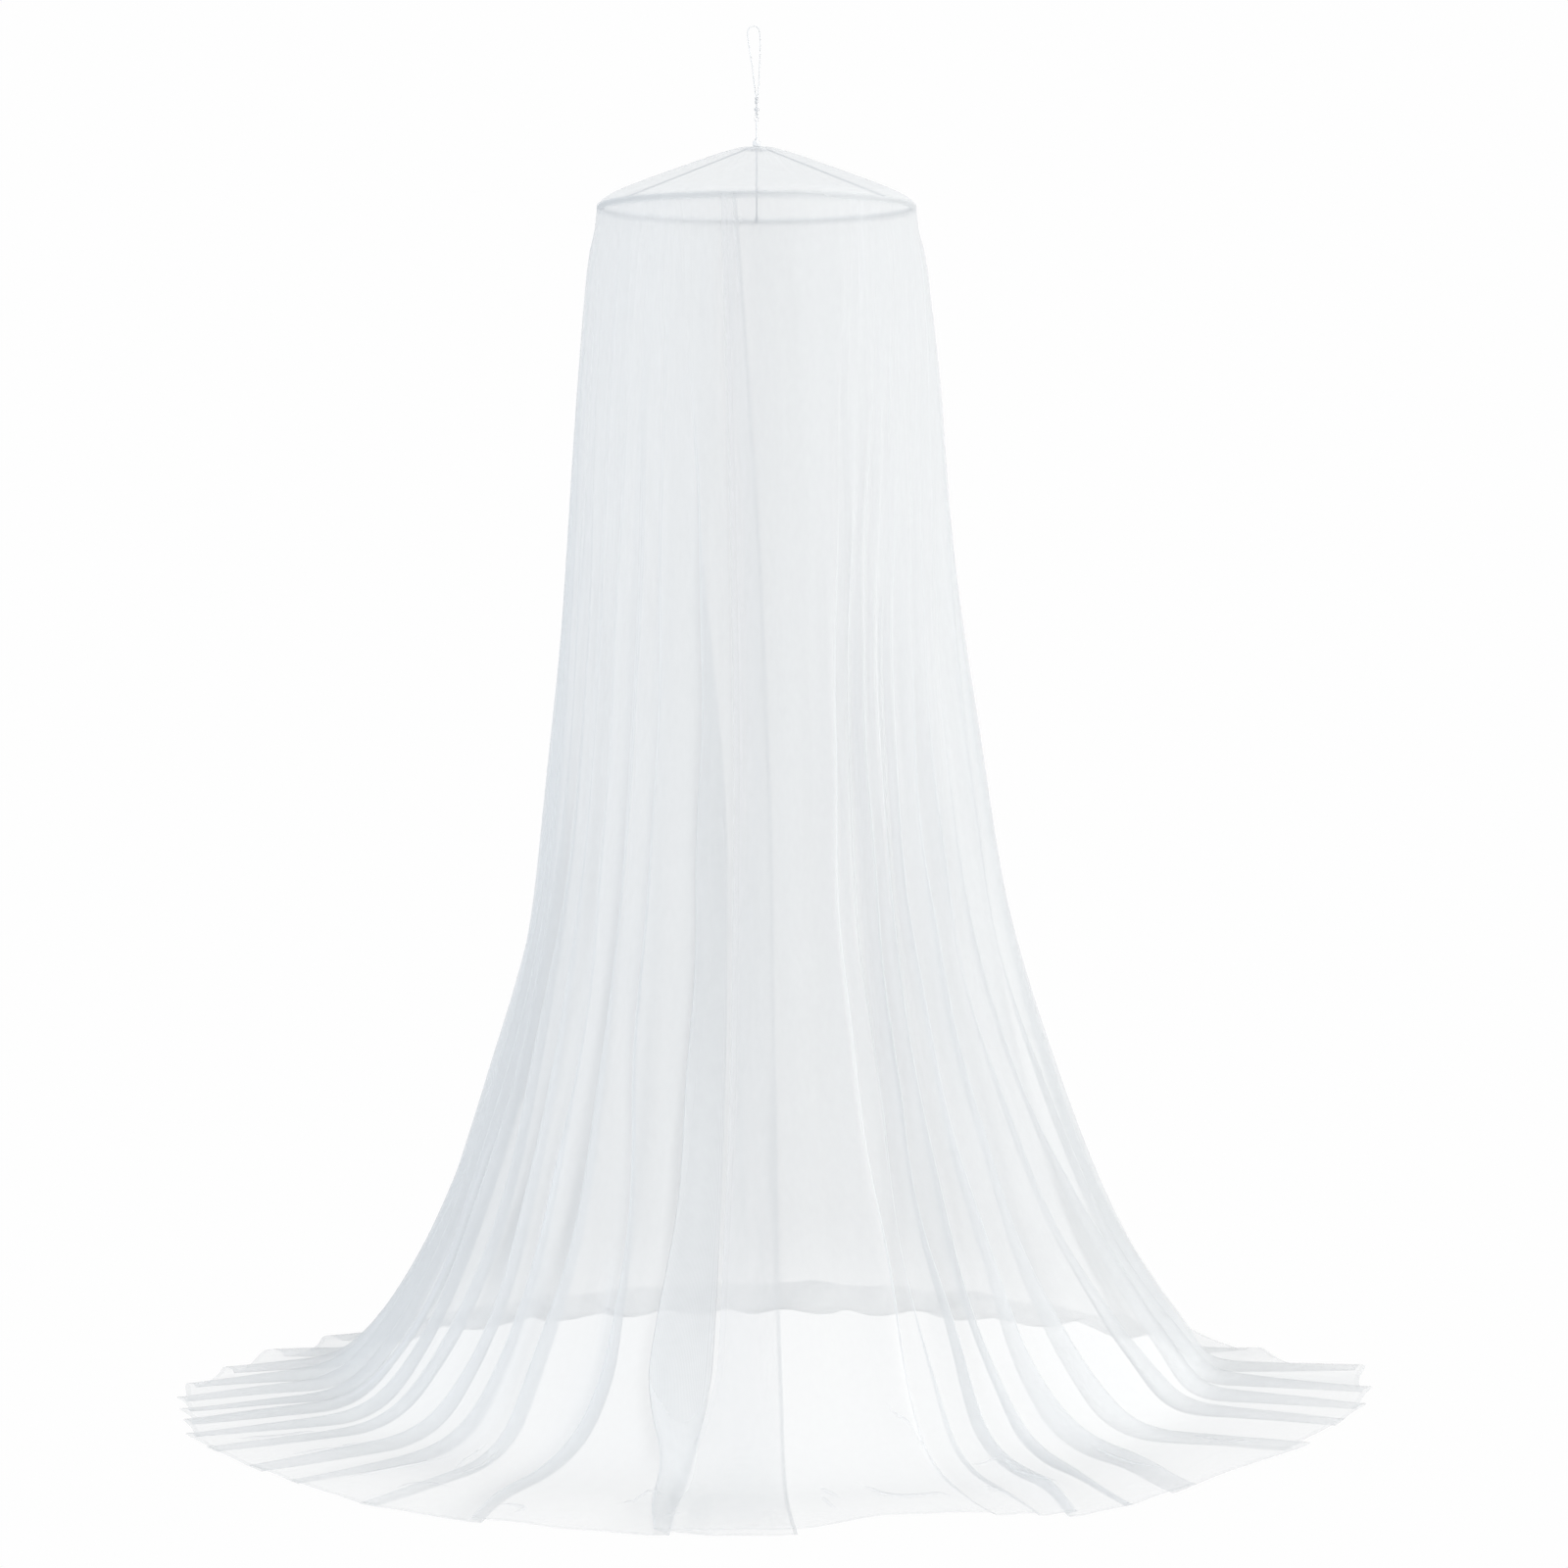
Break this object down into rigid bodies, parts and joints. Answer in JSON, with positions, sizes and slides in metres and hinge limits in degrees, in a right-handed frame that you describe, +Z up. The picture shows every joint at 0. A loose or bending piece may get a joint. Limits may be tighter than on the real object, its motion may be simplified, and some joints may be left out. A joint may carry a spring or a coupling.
{
  "type": "mosquito net canopy and hoop",
  "caption": "Sheer white net canopy: a low cone roof and a long flared wall over a round hoop, hung from a cord loop, its hem trailing on the floor.",
  "frame": {"origin": "inside top of the hanging loop, where a ceiling hook bears, on the canopy's axis", "axes": "+Z up along the canopy's axis, the entry faces -Y, +X to the right as seen from the front"},
  "size_m": [2.368, 2.0755, 2.7064],
  "materials": {
    "net": "fine even white polyester net, sheer",
    "hoop": "smooth white plastic",
    "cord": "thin white braided cord",
    "fitting": "moulded white plastic",
    "pin": "zinc-coated wire"
  },
  "bodies": {
    "root": {"net_roof": "net", "net_wall": "net", "hoop": "hoop", "support_cord_front": "cord", "support_cord_right": "cord", "support_cord_back": "cord", "support_cord_left": "cord", "apex_disc": "fitting", "apex_cap": "fitting", "eye_pin": "pin", "loop_knot": "cord", "hanging_loop": "cord"}
  },
  "joints": []
}
